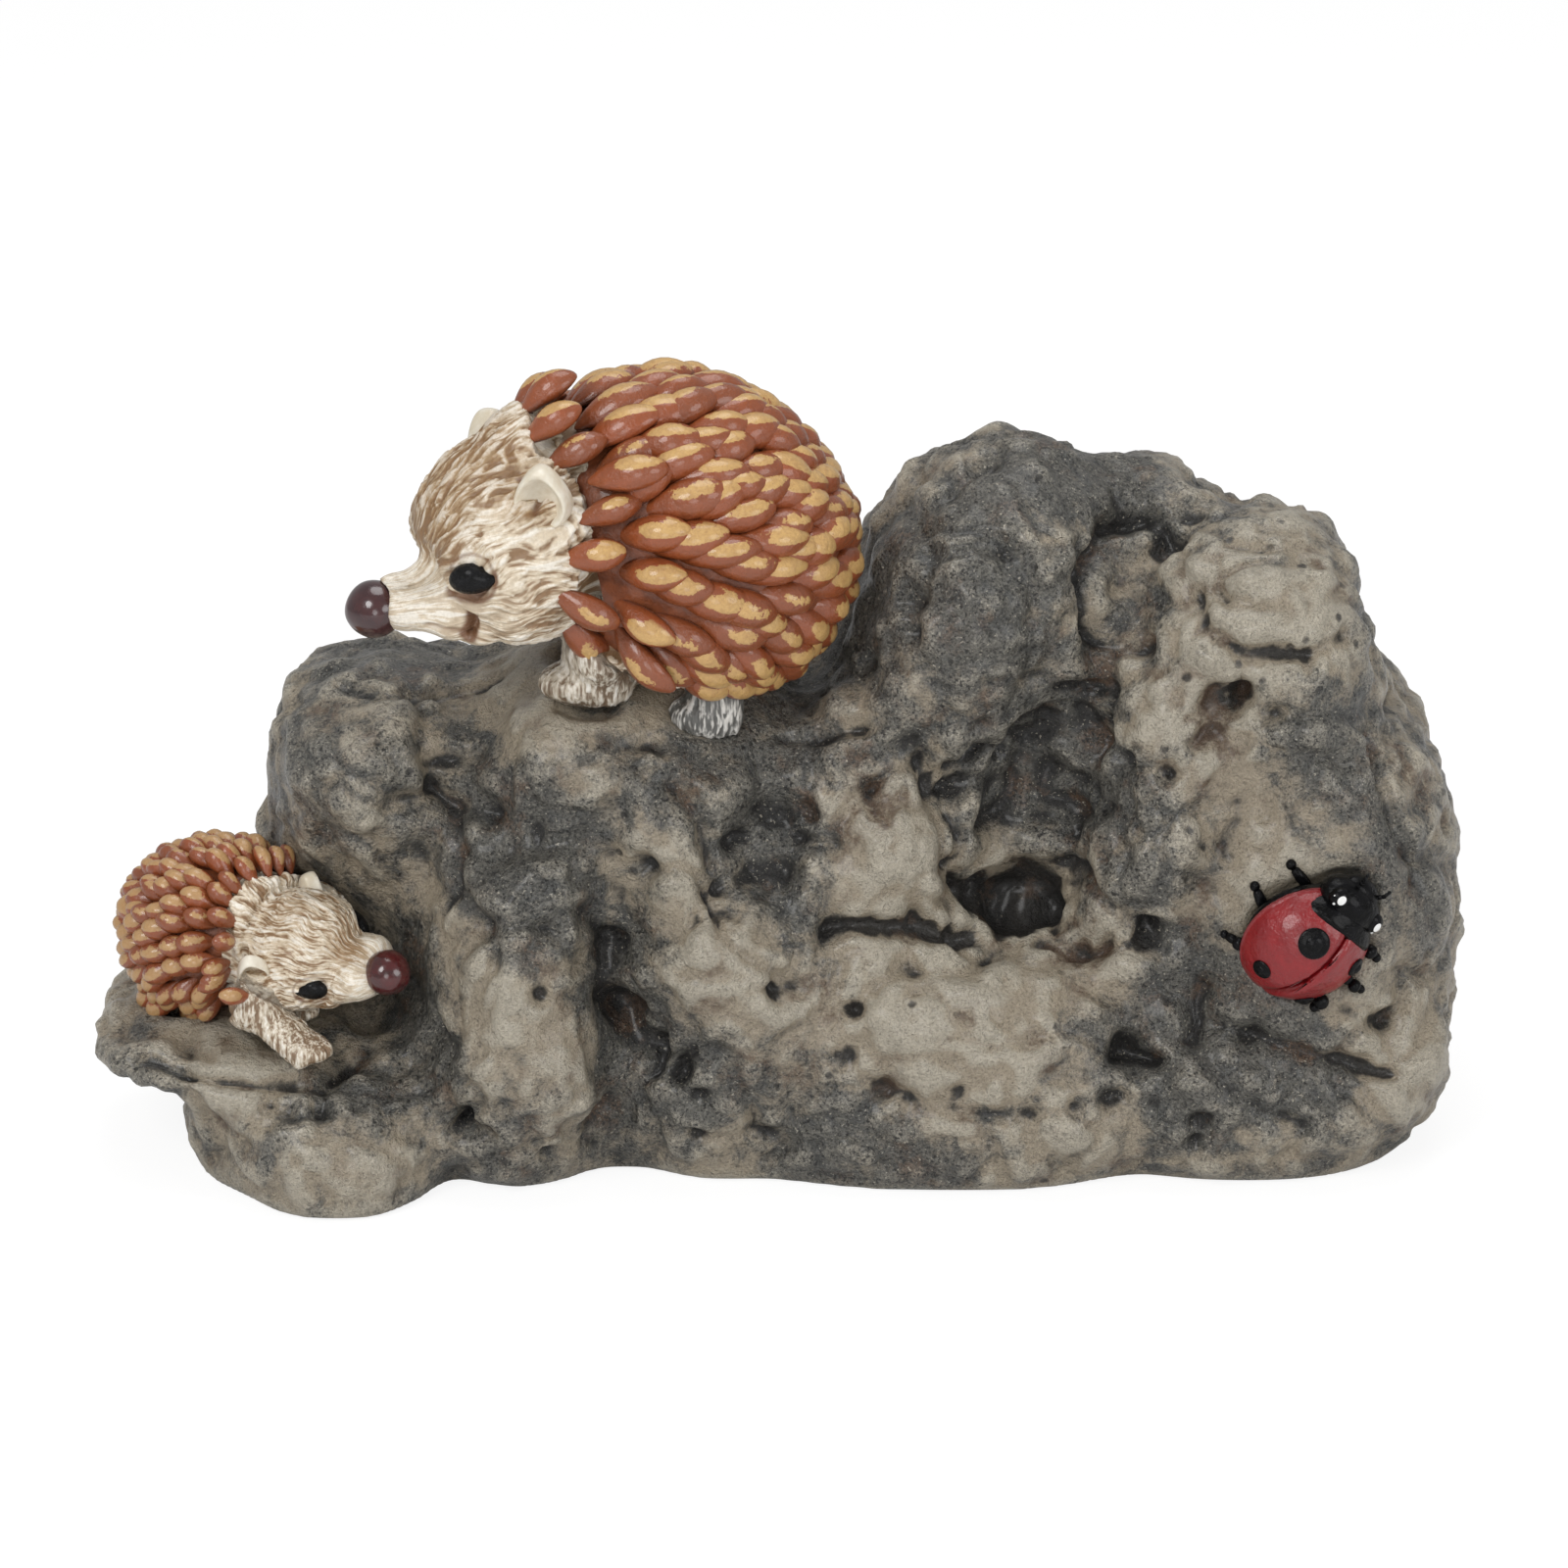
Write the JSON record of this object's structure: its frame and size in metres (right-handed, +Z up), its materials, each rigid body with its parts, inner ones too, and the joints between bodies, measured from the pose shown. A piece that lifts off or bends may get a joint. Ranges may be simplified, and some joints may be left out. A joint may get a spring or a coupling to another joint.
{
  "type": "hedgehog figurine",
  "caption": "Painted resin ornament of a mother hedgehog standing on a pitted rock, with her young on a low ledge and a red ladybird on the front.",
  "frame": {"origin": "in the flat underside of the rock, on the ornament's middle line from left to right", "axes": "+X to the right as seen from the front, where the young hedgehog sits at the left; +Y to the back; +Z up"},
  "size_m": [0.197, 0.0865, 0.1173],
  "materials": {
    "rock": "stone texture in cast resin, grey and beige washes, satin varnish",
    "fur": "carved fur, cream paint with brown washed grooves, satin",
    "leg_fur": "carved fur, pale grey dry-brushed paint, satin",
    "quill_coat": "dark red-brown paint, glossy",
    "quills": "red-brown paint with ochre dabs on each tip, glossy varnish",
    "nose": "dark maroon paint, high gloss",
    "eye_black": "black paint, high gloss",
    "wing_case_red": "red paint, satin gloss",
    "ladybird_black": "black paint, glossy",
    "eye_white": "white paint, glossy"
  },
  "bodies": {
    "root": {"ladybird_antennae": "ladybird_black", "ladybird_body": "ladybird_black", "ladybird_eyes": "eye_white", "ladybird_head": "ladybird_black", "ladybird_legs": "ladybird_black", "ladybird_pronotum": "ladybird_black", "ladybird_spots": "ladybird_black", "ladybird_wing_case_left": "wing_case_red", "ladybird_wing_case_right": "wing_case_red", "mother_ear_left": "fur", "mother_ear_right": "fur", "mother_eye_left": "eye_black", "mother_eye_right": "eye_black", "mother_foreleg_left": "leg_fur", "mother_foreleg_right": "leg_fur", "mother_head": "fur", "mother_hind_leg_left": "leg_fur", "mother_hind_leg_right": "leg_fur", "mother_nose": "nose", "mother_quill_coat": "quill_coat", "mother_quill_row_01": "quills", "mother_quill_row_02": "quills", "mother_quill_row_03": "quills", "mother_quill_row_04": "quills", "mother_quill_row_05": "quills", "mother_quill_row_06": "quills", "mother_quill_row_07": "quills", "mother_quill_row_08": "quills", "mother_torso": "fur", "rock": "rock", "young_ear_left": "fur", "young_ear_right": "fur", "young_eye_left": "eye_black", "young_eye_right": "eye_black", "young_foreleg_left": "leg_fur", "young_foreleg_right": "leg_fur", "young_head": "fur", "young_hind_leg_left": "leg_fur", "young_hind_leg_right": "leg_fur", "young_nose": "nose", "young_quill_coat": "quill_coat", "young_quill_row_01": "quills", "young_quill_row_02": "quills", "young_quill_row_03": "quills", "young_quill_row_04": "quills", "young_quill_row_05": "quills", "young_quill_row_06": "quills", "young_quill_row_07": "quills", "young_torso": "fur"}
  },
  "joints": []
}
